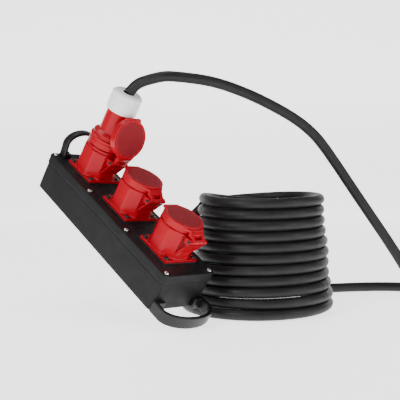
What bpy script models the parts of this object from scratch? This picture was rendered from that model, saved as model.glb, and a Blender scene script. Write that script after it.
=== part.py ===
"""Portable power distribution box: a long rubber-plastic case with three lidded 16 A
five-pole sockets, a pull handle, a carry loop and a coiled mains lead whose plug sits in
the first socket. Metres, +Z up. The case leans on its pull handle beside the coil."""

import math

import bmesh
import bpy
from mathutils import Matrix, Vector

MM = 0.001
GAP = 0.3

# The case, in millimetres, in its own frame: X along it, Z out of its cover.
CASE_LENGTH = 346.0
CASE_WIDTH = 108.0
CASE_HEIGHT = 65.0
CASE_CORNER = 9.0
INNER_CORNER = 4.0
WALL = 4.0
END_WALL = 7.0
HOLLOW_LENGTH = CASE_LENGTH - 2 * END_WALL
HOLLOW_WIDTH = CASE_WIDTH - 2 * END_WALL
LIP_HEIGHT = 16.0
LIP_STEP = 1.0
LIP_WALL = 3.2
COVER_PLATE = 4.0
GASKET_THICK = 1.2

# Sockets sit in a row at one pitch, and the cover screws halfway between them.
PITCH = 110.0
SOCKET_X = (-PITCH, 0.0, PITCH)
FLANGE = 70.0
FLANGE_SCREW = 28.0
FLANGE_LOW = 1.8
FLANGE_TOP = 6.0
TOWER_ACROSS = 66.0
TOWER_TOP = 51.5
RIM_TOP = 56.0
RIM_RADIUS = 31.0
WELL_RADIUS = 28.0
INSERT_RADIUS = 21.8
INSERT_TOP = 46.0
PANEL_HOLE = 29.5
COVER_SCREW_Y = 46.0
POST_LOW = 26.0
COVER_SCREW_X = (-1.5 * PITCH, -0.5 * PITCH, 0.5 * PITCH, 1.5 * PITCH)

# Lid hinge: the pin lies across the case, beside the tower and below its rim.
HINGE_X = 45.0
HINGE_Z = 48.0
EYE_RADIUS = 4.2
PIN_RADIUS = 1.5
EAR_IN = 13.5
EAR_OUT = 17.5
LID_RADIUS = 33.0
LID_TOP = 64.5
LID_OPEN_AT_REST = 73.0

# Contacts stand on one circle; the first, the earth, is the thickest.
CONTACT_CIRCLE = 12.5
CONTACT_ANGLES = (105, 180, 255, 330, 30)

# The plug, as heights above the cover when it is home in its socket.
PLUG_SHROUD_OUT = 27.2
PLUG_SHROUD_IN = 22.6
PLUG_REACH_DOWN = 24.0
PLUG_COLLAR_LOW = 58.5
PLUG_COLLAR_TOP = 80.0
PLUG_GRIP_TOP = 123.5
PLUG_NUT_TOP = 157.0

# The cable gland, on the far long side.
GLAND_X = -15.0
GLAND_Z = 27.0
GLAND_THREAD = 12.5
GLAND_OUT = CASE_WIDTH / 2 - LIP_STEP
GLAND_NUT_END = GLAND_OUT + 27.0
BOOT_END = GLAND_OUT + 62.0

# Handles are bands of one section, bent to a bow.
BAND = 6.5
PULL_REACH = 49.0
PULL_BREADTH = 20.0
PULL_SCREW_Y = 38.0
PULL_SCREW_Z = 11.0
HANDLE_BORE = 2.3
SHOULDER = 0.45
LOOP_HALF = 37.0
LOOP_HEIGHT = 45.0
LOOP_BREADTH = 15.0
LOOP_X = -162.0
LOOP_LEAN = 10.0
LOOP_SCREW_Y = 29.0

# The lead, its coil and the places that it runs through, in world millimetres.
LEAD = 17.0
COIL_CENTRE = (117.3, 172.4)
COIL_FOOT_RADIUS = 114.5
COIL_HEAD_RADIUS = 96.5
COIL_PITCH = 17.5
COIL_WINDINGS = 10.45
COIL_JOIN_ANGLE = 190.0
COIL_RIGHT = (0.699, 0.715)
COIL_BACK = (-0.715, 0.699)
LEAD_LOW = 9.1

# The lead's way from the coil to the plug: right of the coil's centre, behind it, and above the floor.
ROUND_THE_COIL = (
    (80, 145, LEAD_LOW), (150, 163, LEAD_LOW), (210, 176, LEAD_LOW), (265, 178, LEAD_LOW),
    (312, 165, LEAD_LOW), (346, 138, LEAD_LOW), (360, 102, LEAD_LOW), (350, 66, LEAD_LOW),
    (322, 40, 12), (292, 28, 24), (266, 23, 47), (241, 21, 84), (220, 20, 116), (188, 17, 162),
    (156, 14, 208), (125, 11, 253), (94, 6, 293), (60, -1, 321), (17, -12, 345), (-28, -24, 365),
    (-74, -37, 380), (-108, -46, 386), (-138, -52, 389), (-169, -56, 389), (-198, -51, 380),
)

# How the case leans: pitched down onto its pull handle, rolled a little to the coil.
PITCH_ANGLE = 32.0
ROLL_ANGLE = -3.3
ORIGIN_SHIFT = (-25.52, -32.04)

BLACK = ("case_plastic", (0.022, 0.022, 0.024), 0.55, 0.0)
RED = ("socket_red", (0.62, 0.008, 0.02), 0.25, 0.0)
DARK_RED = ("insert_red", (0.30, 0.01, 0.015), 0.4, 0.0)
RUBBER = ("gasket_rubber", (0.03, 0.03, 0.03), 0.8, 0.0)
CABLE = ("lead_rubber", (0.035, 0.035, 0.038), 0.6, 0.0)
STEEL = ("zinc_steel", (0.62, 0.62, 0.60), 0.3, 1.0)
WHITE = ("nut_white", (0.78, 0.79, 0.80), 0.4, 0.0)
GREY = ("terminal_grey", (0.4, 0.4, 0.38), 0.6, 0.0)


def clear_scene():
    for obj in list(bpy.data.objects):
        bpy.data.objects.remove(obj, do_unlink=True)


clear_scene()
PARTS = bpy.data.collections.new("power_distribution_box")
CUTTERS = bpy.data.collections.new("cutters")
for group in (PARTS, CUTTERS):
    bpy.context.scene.collection.children.link(group)
CUTTERS.hide_render = True


def material(spec):
    name, colour, roughness, metallic = spec
    found = bpy.data.materials.get(name)
    if found:
        return found
    made = bpy.data.materials.new(name)
    made.use_nodes = True
    shader = made.node_tree.nodes["Principled BSDF"]
    shader.inputs["Base Color"].default_value = (*colour, 1.0)
    shader.inputs["Roughness"].default_value = roughness
    shader.inputs["Metallic"].default_value = metallic
    return made


def place(name, mesh, spec):
    """A new object of this mesh; with no material it is a cutter."""
    obj = bpy.data.objects.new(name, mesh)
    if spec is None:
        CUTTERS.objects.link(obj)
        obj.hide_render = True
        obj.display_type = "WIRE"
        return obj
    PARTS.objects.link(obj)
    if not mesh.materials:
        mesh.materials.append(material(spec))
    return obj


def mesh_from(bm, name):
    bmesh.ops.recalc_face_normals(bm, faces=bm.faces)
    mesh = bpy.data.meshes.new(name)
    bm.to_mesh(mesh)
    bm.free()
    return mesh


def block(name, size, centre, spec=None, corner=0.0, axis="Z", steps=3):
    """A box in millimetres; corner rounds the four edges along the given axis."""
    bm = bmesh.new()
    bmesh.ops.create_cube(bm, size=MM)
    bmesh.ops.scale(bm, vec=size, verts=bm.verts)
    if corner:
        index = "XYZ".index(axis)
        along = [e for e in bm.edges if abs(e.verts[0].co[index] - e.verts[1].co[index]) > MM / 100]
        bmesh.ops.bevel(
            bm, geom=along, offset=corner * MM, segments=steps, affect="EDGES", profile=0.5
        )
    bmesh.ops.translate(bm, vec=Vector(centre) * MM, verts=bm.verts)
    return place(name, mesh_from(bm, name), spec)


def slab(name, length, width, low, high, corner, spec=None, x=0.0):
    """A rounded rectangle between two heights."""
    return block(name, (length, width, high - low), (x, 0.0, (low + high) / 2), spec, corner)


def rod(name, radius, start, end, spec=None, sides=24, end_radius=None):
    """A cylinder or cone from one point to another."""
    start, end = Vector(start) * MM, Vector(end) * MM
    bm = bmesh.new()
    far_radius = radius if end_radius is None else end_radius
    bmesh.ops.create_cone(
        bm, cap_ends=True, segments=sides, radius1=radius * MM, radius2=far_radius * MM,
        depth=(end - start).length,
    )
    turn = (end - start).to_track_quat("Z", "Y").to_matrix().to_4x4()
    bmesh.ops.transform(bm, matrix=Matrix.Translation((start + end) / 2) @ turn, verts=bm.verts)
    return place(name, mesh_from(bm, name), spec)


def plate(name, outline, low, high, spec=None):
    """A flat outline in X and Z, extruded along Y from low to high."""
    curve = bpy.data.curves.new(name, "CURVE")
    curve.dimensions = "2D"
    curve.fill_mode = "BOTH"
    curve.extrude = (high - low) / 2 * MM
    spline = curve.splines.new("POLY")
    spline.points.add(len(outline) - 1)
    for point, (x, z) in zip(spline.points, outline):
        point.co = (x * MM, z * MM, 0.0, 1.0)
    spline.use_cyclic_u = True
    obj = place(name, curve, spec or BLACK)
    middle = Matrix.Translation((0, (low + high) / 2 * MM, 0))
    obj.matrix_world = middle @ Matrix.Rotation(math.pi / 2, 4, "X")
    return meshed(obj, spec)


def meshed(obj, spec):
    """The evaluated shape as a plain mesh object in the same place, with its loose caps welded."""
    bpy.context.view_layer.update()
    graph = bpy.context.evaluated_depsgraph_get()
    mesh = bpy.data.meshes.new_from_object(obj.evaluated_get(graph))
    world, name = obj.matrix_world.copy(), obj.name
    bpy.data.objects.remove(obj, do_unlink=True)
    mesh.transform(world)
    bm = bmesh.new()
    bm.from_mesh(mesh)
    bmesh.ops.remove_doubles(bm, verts=bm.verts, dist=1e-5)
    bmesh.ops.recalc_face_normals(bm, faces=bm.faces)
    bm.to_mesh(mesh)
    bm.free()
    mesh.materials.clear()
    return place(name, mesh, spec)


def turned(name, profile, spec=None, steps=32):
    """A profile of radius and height, outer side top to bottom, turned about Z."""
    bm = bmesh.new()
    points = [bm.verts.new((r * MM, 0.0, z * MM)) for r, z in profile]
    for first, second in zip(points, points[1:] + points[:1]):
        bm.edges.new((first, second))
    mesh = bpy.data.meshes.new(name)
    bm.to_mesh(mesh)
    bm.free()
    obj = place(name, mesh, spec or BLACK)
    screw = obj.modifiers.new("turn", "SCREW")
    screw.steps = screw.render_steps = steps
    screw.use_merge_vertices = True
    screw.merge_threshold = 1e-5
    return meshed(obj, spec)


def combine(target, operation, *others):
    """Boolean with each other object, which then stays as a hidden cutter."""
    for other in others:
        if other.name not in CUTTERS.objects:
            PARTS.objects.unlink(other)
            CUTTERS.objects.link(other)
            other.hide_render = True
            other.display_type = "WIRE"
        modifier = target.modifiers.new(operation.lower(), "BOOLEAN")
        modifier.operation = operation
        modifier.solver = "EXACT"
        modifier.object = other
    return target


def settle(obj):
    """Applies the modifiers, so that copies of the object can share one mesh."""
    bpy.context.view_layer.update()
    graph = bpy.context.evaluated_depsgraph_get()
    mesh = bpy.data.meshes.new_from_object(obj.evaluated_get(graph))
    obj.modifiers.clear()
    obj.data = mesh
    return obj


def smooth(obj, degrees=40.0):
    obj.data.shade_smooth()
    obj.data.set_sharp_from_angle(angle=math.radians(degrees))


def bow(name, half, reach, breadth, spec):
    """A band bent to a U in the X-Y plane, from x = 0 out to reach, breadth high along Z."""

    def outline(side, tip):
        shoulder = tip * SHOULDER
        steps = 10
        arc = []
        for step in range(steps + 1):
            angle = math.pi / 2 - math.pi * step / steps
            arc.append((shoulder + (tip - shoulder) * math.cos(angle), side * math.sin(angle)))
        return [(0.0, side)] + arc + [(0.0, -side)]

    inner = outline(half - BAND, reach - BAND)
    points = outline(half, reach) + inner[::-1]
    curve = bpy.data.curves.new(name, "CURVE")
    curve.dimensions = "2D"
    curve.fill_mode = "BOTH"
    curve.extrude = breadth / 2 * MM
    spline = curve.splines.new("POLY")
    spline.points.add(len(points) - 1)
    for point, (x, y) in zip(spline.points, points):
        point.co = (x * MM, y * MM, 0.0, 1.0)
    spline.use_cyclic_u = True
    return meshed(place(name, curve, spec), spec)


# ---------------------------------------------------------------- case

def make_case():
    base_top = CASE_HEIGHT - LIP_HEIGHT - GAP
    spigot_top = CASE_HEIGHT - COVER_PLATE - GASKET_THICK - 2 * GAP
    spigot = 2 * (LIP_WALL + GAP)
    length, width = CASE_LENGTH - 2 * LIP_STEP, CASE_WIDTH - 2 * LIP_STEP
    base = slab("housing_base", length, width, 0.0, base_top, CASE_CORNER, BLACK)
    length, width = CASE_LENGTH - spigot, CASE_WIDTH - spigot
    upper = slab("base_spigot", length, width, base_top - 6, spigot_top, INNER_CORNER)
    hollow = slab("base_hollow", HOLLOW_LENGTH, HOLLOW_WIDTH, WALL, CASE_HEIGHT, CASE_CORNER - 3)
    combine(base, "UNION", upper)
    combine(base, "DIFFERENCE", hollow)
    for index, (x, y) in enumerate(cover_screw_places()):
        post = rod(f"screw_post_{index}", 4.2, (x, y, POST_LOW), (x, y, spigot_top), sides=12)
        pilot = rod(f"screw_pilot_{index}", 2.2, (x, y, spigot_top - 16), (x, y, CASE_HEIGHT), sides=10)
        combine(base, "UNION", post)
        combine(base, "DIFFERENCE", pilot)
    entry = rod("gland_entry", GLAND_THREAD + GAP, (GLAND_X, 40, GLAND_Z), (GLAND_X, 60, GLAND_Z))
    combine(base, "DIFFERENCE", entry)
    for index, side in enumerate((-1, 1)):
        y = side * PULL_SCREW_Y
        inner, outer = CASE_LENGTH / 2 - 12, CASE_LENGTH / 2 + 4
        start, end = (inner, y, PULL_SCREW_Z), (outer, y, PULL_SCREW_Z)
        hole = rod(f"pull_screw_hole_{index}", HANDLE_BORE, start, end, sides=10)
        combine(base, "DIFFERENCE", hole)
    smooth(settle(base))
    return base


def cover_screw_places():
    return [(x, side * COVER_SCREW_Y) for side in (-1, 1) for x in COVER_SCREW_X]


def make_cover():
    low = CASE_HEIGHT - LIP_HEIGHT
    cover = slab("top_cover", CASE_LENGTH, CASE_WIDTH, low, CASE_HEIGHT, CASE_CORNER, BLACK)
    length, width = CASE_LENGTH - 2 * LIP_WALL, CASE_WIDTH - 2 * LIP_WALL
    under = slab("cover_hollow", length, width, low - 5, CASE_HEIGHT - COVER_PLATE, INNER_CORNER)
    combine(cover, "DIFFERENCE", under)
    for x in SOCKET_X:
        panel = rod(f"panel_hole_{x:.0f}", PANEL_HOLE, (x, 0, 50), (x, 0, 80), sides=32)
        combine(cover, "DIFFERENCE", panel)
        for index, (dx, dy) in enumerate(flange_screw_places()):
            hole = rod(f"flange_hole_{x:.0f}_{index}", 1.9, (x + dx, dy, 50), (x + dx, dy, 80), sides=8)
            combine(cover, "DIFFERENCE", hole)
    for index, (x, y) in enumerate(cover_screw_places()):
        combine(cover, "DIFFERENCE", rod(f"cover_hole_{index}", 2.4, (x, y, 50), (x, y, 80), sides=12))
    for index, y in enumerate((-LOOP_SCREW_Y, LOOP_SCREW_Y)):
        hole = rod(f"loop_hole_{index}", HANDLE_BORE, (LOOP_X, y, 50), (LOOP_X, y, 80), sides=10)
        combine(cover, "DIFFERENCE", hole)
    smooth(settle(cover))


def make_cover_gasket():
    top = CASE_HEIGHT - COVER_PLATE - GAP
    low = top - GASKET_THICK
    outer = 2 * (LIP_WALL + GAP)
    length, width = CASE_LENGTH - outer, CASE_WIDTH - outer
    gasket = slab("cover_gasket", length, width, low, top, INNER_CORNER, RUBBER)
    inner = slab("gasket_window", length - 24, width - 22, low - 2, top + 2, 6.0)
    combine(gasket, "DIFFERENCE", inner)
    for index, (x, y) in enumerate(cover_screw_places()):
        ear = rod(f"gasket_ear_{index}", 4.3, (x, y, low), (x, y, top), sides=12)
        hole = rod(f"gasket_hole_{index}", 2.4, (x, y, 50), (x, y, 80), sides=10)
        combine(gasket, "UNION", ear)
        combine(gasket, "DIFFERENCE", hole)
    for index, y in enumerate((-LOOP_SCREW_Y, LOOP_SCREW_Y)):
        hole = rod(f"gasket_loop_hole_{index}", 4.2, (LOOP_X, y, 50), (LOOP_X, y, 80), sides=10)
        combine(gasket, "DIFFERENCE", hole)
    settle(gasket)


def pan_screw(name, head_radius, head_height, shank_radius, shank_length):
    """A pan-head screw pointing down, its head's underside at the origin."""
    profile = [
        (0.0, head_height), (head_radius * 0.75, head_height), (head_radius, 0.0), (shank_radius, 0.0),
        (shank_radius, -shank_length), (0.0, -shank_length - shank_radius),
    ]
    return finished_mesh(turned(name, profile, STEEL, steps=10))


def make_cover_screws():
    mesh = pan_screw("cover_screw", 4.2, 2.6, 1.9, 15.0)
    for index, (x, y) in enumerate(cover_screw_places()):
        screw = place(f"cover_screw_{index + 1}", mesh, STEEL)
        screw.location = Vector((x, y, CASE_HEIGHT + GAP)) * MM


# ---------------------------------------------------------------- handles

def make_pull_handle():
    face = CASE_LENGTH / 2 - LIP_STEP + GAP
    handle = bow("pull_handle", CASE_WIDTH / 2 - LIP_STEP, PULL_REACH, PULL_BREADTH, BLACK)
    handle.data.transform(Matrix.Translation(Vector((face, 0, PULL_BREADTH / 2)) * MM))
    for index, side in enumerate((-1, 1)):
        y = side * PULL_SCREW_Y
        centre = (face + 3.7, y + 4 * side, PULL_BREADTH / 2)
        pad = block(f"pull_pad_{index}", (7.0, 20.0, PULL_BREADTH - 1), centre)
        start, end = (face - 4, y, PULL_SCREW_Z), (face + 5.5, y, PULL_SCREW_Z)
        bore = rod(f"pull_bore_{index}", HANDLE_BORE, start, end, sides=10)
        combine(handle, "UNION", pad)
        combine(handle, "DIFFERENCE", bore)
    smooth(settle(handle))
    mesh = pan_screw("pull_handle_screw", 3.6, 2.2, 1.8, 9.0)
    for index, side in enumerate((-1, 1)):
        screw = place(f"pull_handle_screw_{index + 1}", mesh, STEEL)
        screw.location = Vector((HOLLOW_LENGTH / 2 - GAP, side * PULL_SCREW_Y, PULL_SCREW_Z)) * MM
        screw.rotation_euler = (0, -math.pi / 2, 0)


def make_carry_loop():
    loop = bow("carry_loop", LOOP_HALF, LOOP_HEIGHT, LOOP_BREADTH, BLACK)
    lean = Matrix.Rotation(-math.radians(LOOP_LEAN), 4, "Y")
    stand = Matrix.Rotation(-math.pi / 2, 4, "Y")
    foot_z = CASE_HEIGHT + GAP
    rise = 3.0
    loop.data.transform(Matrix.Translation(Vector((LOOP_X, 0, foot_z + rise)) * MM) @ lean @ stand)
    for index, y in enumerate((-LOOP_SCREW_Y, LOOP_SCREW_Y)):
        size, centre = (LOOP_BREADTH + 1, 16.5, 7.5), (LOOP_X, y, foot_z + 3.75)
        foot = block(f"loop_foot_{index}", size, centre, corner=2.0, steps=1)
        start, end = (LOOP_X, y, foot_z - 4), (LOOP_X, y, foot_z + 6)
        bore = rod(f"loop_bore_{index}", HANDLE_BORE, start, end, sides=10)
        combine(loop, "UNION", foot)
        combine(loop, "DIFFERENCE", bore)
    smooth(settle(loop))
    mesh = pan_screw("carry_loop_screw", 3.6, 2.2, 1.8, 8.0)
    for index, y in enumerate((-LOOP_SCREW_Y, LOOP_SCREW_Y)):
        screw = place(f"carry_loop_screw_{index + 1}", mesh, STEEL)
        screw.location = Vector((LOOP_X, y, CASE_HEIGHT - COVER_PLATE - GAP)) * MM
        screw.rotation_euler = (math.pi, 0, 0)


# ---------------------------------------------------------------- sockets

def flange_screw_places():
    return [(sx * FLANGE_SCREW, sy * FLANGE_SCREW) for sx in (-1, 1) for sy in (-1, 1)]


def octagon(name, across, low, high, spec=None, top_across=None):
    """An upright eight-sided tower with a flat towards each side."""
    corner = across / 2 / math.cos(math.pi / 8)
    top = (top_across or across) / 2 / math.cos(math.pi / 8)
    tower = rod(name, corner, (0, 0, low), (0, 0, high), spec, sides=8, end_radius=top)
    tower.data.transform(Matrix.Rotation(math.pi / 8, 4, "Z"))
    return tower


def socket_body_mesh():
    body = slab("socket_body", FLANGE, FLANGE, FLANGE_LOW, FLANGE_TOP, 5.0, RED)
    tower = octagon("socket_tower", TOWER_ACROSS, FLANGE_TOP - 2, TOWER_TOP)
    rim = rod("socket_rim", RIM_RADIUS, (0, 0, TOWER_TOP - 4), (0, 0, RIM_TOP), sides=32)
    spigot = rod("socket_spigot", PANEL_HOLE - 1, (0, 0, -8), (0, 0, FLANGE_LOW + 2), sides=32)
    combine(body, "UNION", tower, rim, spigot)
    eye = EYE_RADIUS
    bracket_outline = [
        (26, 14), (30, 17), (HINGE_X + 0.3 * eye, HINGE_Z - eye), (HINGE_X + eye, HINGE_Z - 0.3 * eye),
        (HINGE_X + eye, HINGE_Z + 0.3 * eye), (HINGE_X, HINGE_Z + eye), (34, TOWER_TOP - 1),
        (26, TOWER_TOP - 1),
    ]
    combine(body, "UNION", plate("socket_bracket", bracket_outline, -EAR_OUT, EAR_OUT))
    barrel_room = block("barrel_room", (30, 2 * EAR_IN, 30), (HINGE_X + 6, 0, HINGE_Z + 9))
    combine(body, "DIFFERENCE", barrel_room)
    start, end = (HINGE_X, -30, HINGE_Z), (HINGE_X, 30, HINGE_Z)
    pin_hole = rod("pin_hole", PIN_RADIUS + 0.2, start, end, sides=16)
    well = rod("socket_well", WELL_RADIUS, (0, 0, -20), (0, 0, RIM_TOP + 10), sides=32)
    combine(body, "DIFFERENCE", pin_hole, well)
    for index, (x, y) in enumerate(flange_screw_places()):
        combine(body, "DIFFERENCE", rod(f"body_hole_{index}", 2.2, (x, y, -5), (x, y, 20), sides=8))
        bite = rod(f"body_bite_{index}", 4.6, (x, y, FLANGE_TOP), (x, y, 14), sides=12)
        combine(body, "DIFFERENCE", bite)
    return finished_mesh(body)


def finished_mesh(obj, degrees=35.0):
    smooth(settle(obj), degrees)
    mesh = obj.data
    bpy.data.objects.remove(obj, do_unlink=True)
    return mesh


def socket_gasket_mesh():
    gasket = slab("socket_gasket", FLANGE, FLANGE, GAP, FLANGE_LOW - GAP, 5.0, RUBBER)
    combine(gasket, "DIFFERENCE", rod("gasket_bore", PANEL_HOLE, (0, 0, -5), (0, 0, 5), sides=32))
    for index, (x, y) in enumerate(flange_screw_places()):
        hole = rod(f"flange_gasket_hole_{index}", 2.2, (x, y, -5), (x, y, 5), sides=8)
        combine(gasket, "DIFFERENCE", hole)
    return finished_mesh(gasket)


def contact_insert_mesh():
    """The contact carrier: a column with five blind contact holes and a mounting disc behind."""
    profile = [
        (0.0, INSERT_TOP), (INSERT_RADIUS - 1, INSERT_TOP), (INSERT_RADIUS, INSERT_TOP - 1),
        (INSERT_RADIUS, -6.0), (WELL_RADIUS - GAP, -6.0), (WELL_RADIUS - GAP, -12.0), (20.0, -12.0),
        (20.0, -34.0), (0.0, -34.0),
    ]
    insert = turned("contact_insert", profile, DARK_RED, steps=24)
    for index, degrees in enumerate(CONTACT_ANGLES):
        angle = math.radians(degrees)
        x, y = CONTACT_CIRCLE * math.cos(angle), CONTACT_CIRCLE * math.sin(angle)
        hole = rod(f"contact_hole_{index}", 3.2 if index else 4.0, (x, y, 14), (x, y, 60), sides=8)
        combine(insert, "DIFFERENCE", hole)
    return finished_mesh(insert)


def lid_mesh():
    """The lid about its hinge axis: a skirted disc, an apron down to the hinge and two knuckles."""
    top = LID_TOP - HINGE_Z
    seat = RIM_TOP + 2.6 - HINGE_Z
    skirt_low = RIM_TOP - 3.0 - HINGE_Z
    disc = [(0.0, top), (LID_RADIUS - 2, top), (LID_RADIUS, top - 2), (LID_RADIUS, skirt_low),
            (RIM_RADIUS + 0.6, skirt_low), (RIM_RADIUS + 0.6, seat), (0.0, seat)]
    lid = turned("lid", disc, RED, steps=32)
    lid.data.transform(Matrix.Translation(Vector((-HINGE_X, 0, 0)) * MM))
    eye = EYE_RADIUS
    apron_outline = [
        (-16, top - 1.5), (-10, top - 2.5), (0.3 * eye, eye), (eye, 0.3 * eye), (eye, -0.3 * eye),
        (0.3 * eye, -eye), (-0.3 * eye, -eye), (-eye, -0.3 * eye), (-eye, 0.5 * eye), (-12.4, skirt_low),
        (-12.4, seat + 1), (-16, seat + 1),
    ]
    apron = plate("lid_apron", apron_outline, -EAR_IN + GAP, EAR_IN - GAP)
    centre = (-HINGE_X - LID_RADIUS + 7.5, 0, top - 3.25)
    tab = block("lid_tab", (20.0, 34.0, 4.5), centre, corner=4.0, steps=1)
    window = block("spring_window", (14.0, 15.0, 12.0), (2.0, 0, -1.0))
    bore = rod("lid_bore", PIN_RADIUS + 0.05, (0, -30, 0), (0, 30, 0), sides=16)
    combine(lid, "UNION", apron, tab)
    combine(lid, "DIFFERENCE", window, bore)
    return finished_mesh(lid)


def lid_seal_mesh():
    low = RIM_TOP + GAP - HINGE_Z
    profile = [(RIM_RADIUS, low + 2.0), (RIM_RADIUS, low), (25.0, low), (25.0, low + 2.0)]
    seal = turned("lid_seal", profile, RUBBER, steps=24)
    seal.data.transform(Matrix.Translation(Vector((-HINGE_X, 0, 0)) * MM))
    return finished_mesh(seal)


def hinge_pin_mesh():
    pin = rod("hinge_pin", PIN_RADIUS, (0, -EAR_OUT - 1.5, 0), (0, EAR_OUT + 0.5, 0), STEEL, sides=16)
    head = rod("pin_head", 2.6, (0, -EAR_OUT - 2.2, 0), (0, -EAR_OUT - GAP, 0), sides=16)
    combine(pin, "UNION", head)
    return finished_mesh(pin)


def lid_spring_mesh():
    """A torsion spring: wire wound round the hinge pin between the lid's knuckles."""
    radius, wire, turns, per_turn = 2.7, 0.55, 4, 8
    curve = bpy.data.curves.new("lid_spring", "CURVE")
    curve.dimensions = "3D"
    curve.bevel_depth = wire * MM
    curve.bevel_resolution = 0
    curve.use_fill_caps = True
    spline = curve.splines.new("POLY")
    count = turns * per_turn
    spline.points.add(count)
    for index, point in enumerate(spline.points):
        angle = 2 * math.pi * index / per_turn
        along = (index / count - 0.5) * 12.0
        point.co = (radius * MM * math.cos(angle), along * MM, radius * MM * math.sin(angle), 1.0)
    return finished_mesh(meshed(place("lid_spring", curve, STEEL), STEEL))


def make_sockets():
    body = socket_body_mesh()
    gasket = socket_gasket_mesh()
    insert = contact_insert_mesh()
    lid, seal = lid_mesh(), lid_seal_mesh()
    pin, spring = hinge_pin_mesh(), lid_spring_mesh()
    screw = pan_screw("flange_screw", 3.6, 2.4, 1.6, 9.0)
    for number, x in enumerate(SOCKET_X, start=1):
        seat = Vector((x, 0, CASE_HEIGHT)) * MM
        place(f"socket_body_{number}", body, RED).location = seat
        place(f"socket_gasket_{number}", gasket, RUBBER).location = seat
        place(f"contact_insert_{number}", insert, DARK_RED).location = seat
        hinge = seat + Vector((HINGE_X, 0, HINGE_Z)) * MM
        swing = math.radians(LID_OPEN_AT_REST) if number == 1 else 0.0
        for name, mesh, spec in (("lid", lid, RED), ("lid_seal", seal, RUBBER)):
            piece = place(f"{name}_{number}", mesh, spec)
            piece.location = hinge
            piece.rotation_euler = (0, swing, 0)
        for name, mesh in (("hinge_pin", pin), ("lid_spring", spring)):
            place(f"{name}_{number}", mesh, STEEL).location = hinge
        for index, (dx, dy) in enumerate(flange_screw_places(), start=1):
            place(f"flange_screw_{number}_{index}", screw, STEEL).location = (
                seat + Vector((dx, dy, FLANGE_TOP + GAP)) * MM
            )


# ---------------------------------------------------------------- plug in socket 1

def make_plug():
    ring = PLUG_COLLAR_TOP
    shell_profile = [
        (22.5, PLUG_GRIP_TOP), (22.5, ring + 4), (29.5, ring), (29.5, ring - 6), (32.5, ring - 7),
        (32.5, PLUG_COLLAR_LOW), (PLUG_SHROUD_OUT, PLUG_COLLAR_LOW), (PLUG_SHROUD_OUT, PLUG_REACH_DOWN),
        (PLUG_SHROUD_IN, PLUG_REACH_DOWN), (PLUG_SHROUD_IN, 60.0), (19.0, 60.0), (19.0, PLUG_GRIP_TOP),
    ]
    shell = turned("plug_shell", shell_profile, RED, steps=28)
    smooth(shell)
    carrier_profile = [(0.0, 84.0), (18.7, 84.0), (18.7, 56.0), (0.0, 56.0)]
    carrier = turned("plug_front", carrier_profile, DARK_RED, steps=32)
    for index, degrees in enumerate(CONTACT_ANGLES):
        angle = math.radians(degrees)
        x, y = CONTACT_CIRCLE * math.cos(angle), CONTACT_CIRCLE * math.sin(angle)
        radius = 2.5 if index else 3.0
        combine(carrier, "UNION", rod(f"plug_pin_{index}", radius, (x, y, 24), (x, y, 58), sides=8))
    smooth(settle(carrier))
    nut_profile = [
        (9.5, PLUG_NUT_TOP), (22.0, PLUG_NUT_TOP), (26.0, PLUG_NUT_TOP - 4), (26.0, PLUG_GRIP_TOP + GAP),
        (18.6, PLUG_GRIP_TOP + GAP), (18.6, PLUG_GRIP_TOP - 16), (11.0, PLUG_GRIP_TOP - 16),
        (9.5, PLUG_NUT_TOP - 8),
    ]
    nut = turned("plug_nut", nut_profile, WHITE, steps=28)
    smooth(nut)
    seat = Vector((SOCKET_X[0], 0, CASE_HEIGHT)) * MM
    for piece in (shell, carrier, nut):
        piece.location = seat


# ---------------------------------------------------------------- gland and inside

def along_side(obj):
    """Turns a piece made about Z to point out of the case's far side at the gland."""
    turn = Matrix.Rotation(-math.pi / 2, 4, "X")
    obj.data.transform(Matrix.Translation(Vector((GLAND_X, 0, GLAND_Z)) * MM) @ turn)
    return obj


def make_gland():
    bore = LEAD / 2 + 0.5
    out = GLAND_OUT
    body_profile = [
        (15.0, out + 14), (15.0, out + 8), (18.0, out + 7), (18.0, out + GAP), (GLAND_THREAD, out + GAP),
        (GLAND_THREAD, out - 12), (bore, out - 12), (bore, out + 14),
    ]
    nut_profile = [
        (bore + 4, GLAND_NUT_END), (17.5, GLAND_NUT_END - 5), (17.5, out + 8.5), (15.3, out + 8.5),
        (15.3, out + 14.5), (bore + 2.5, out + 18), (bore + 2.5, GLAND_NUT_END),
    ]
    boot_profile = [
        (LEAD / 2 + 2.2, BOOT_END), (bore + 2.1, out + 21), (bore + 2.1, out + 16), (bore, out + 16),
        (bore, BOOT_END),
    ]
    smooth(along_side(turned("gland_body", body_profile, BLACK, steps=24)))
    smooth(along_side(turned("gland_nut", nut_profile, BLACK, steps=24)))
    smooth(along_side(turned("gland_boot", boot_profile, RUBBER, steps=24)))


def make_terminal_block():
    middle = 92.0
    centre = (middle, 8, WALL + GAP + 10)
    terminals = block("terminal_block", (62, 30, 20), centre, GREY, corner=1.5, axis="Y", steps=1)
    for index in range(5):
        x = middle + (index - 2) * 12.0
        for side, y in (("in", -6), ("out", 22)):
            notch = block(f"terminal_{side}_{index}", (8, 10, 14), (x, y, WALL + 20))
            combine(terminals, "DIFFERENCE", notch)
    settle(terminals)


# ---------------------------------------------------------------- lead

def from_coil(right, back, height):
    """World millimetres from the coil's centre: to the right of it, behind it, above the floor."""
    x = COIL_CENTRE[0] + COIL_RIGHT[0] * right + COIL_BACK[0] * back
    y = COIL_CENTRE[1] + COIL_RIGHT[1] * right + COIL_BACK[1] * back
    return Vector((x, y, height))


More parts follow.
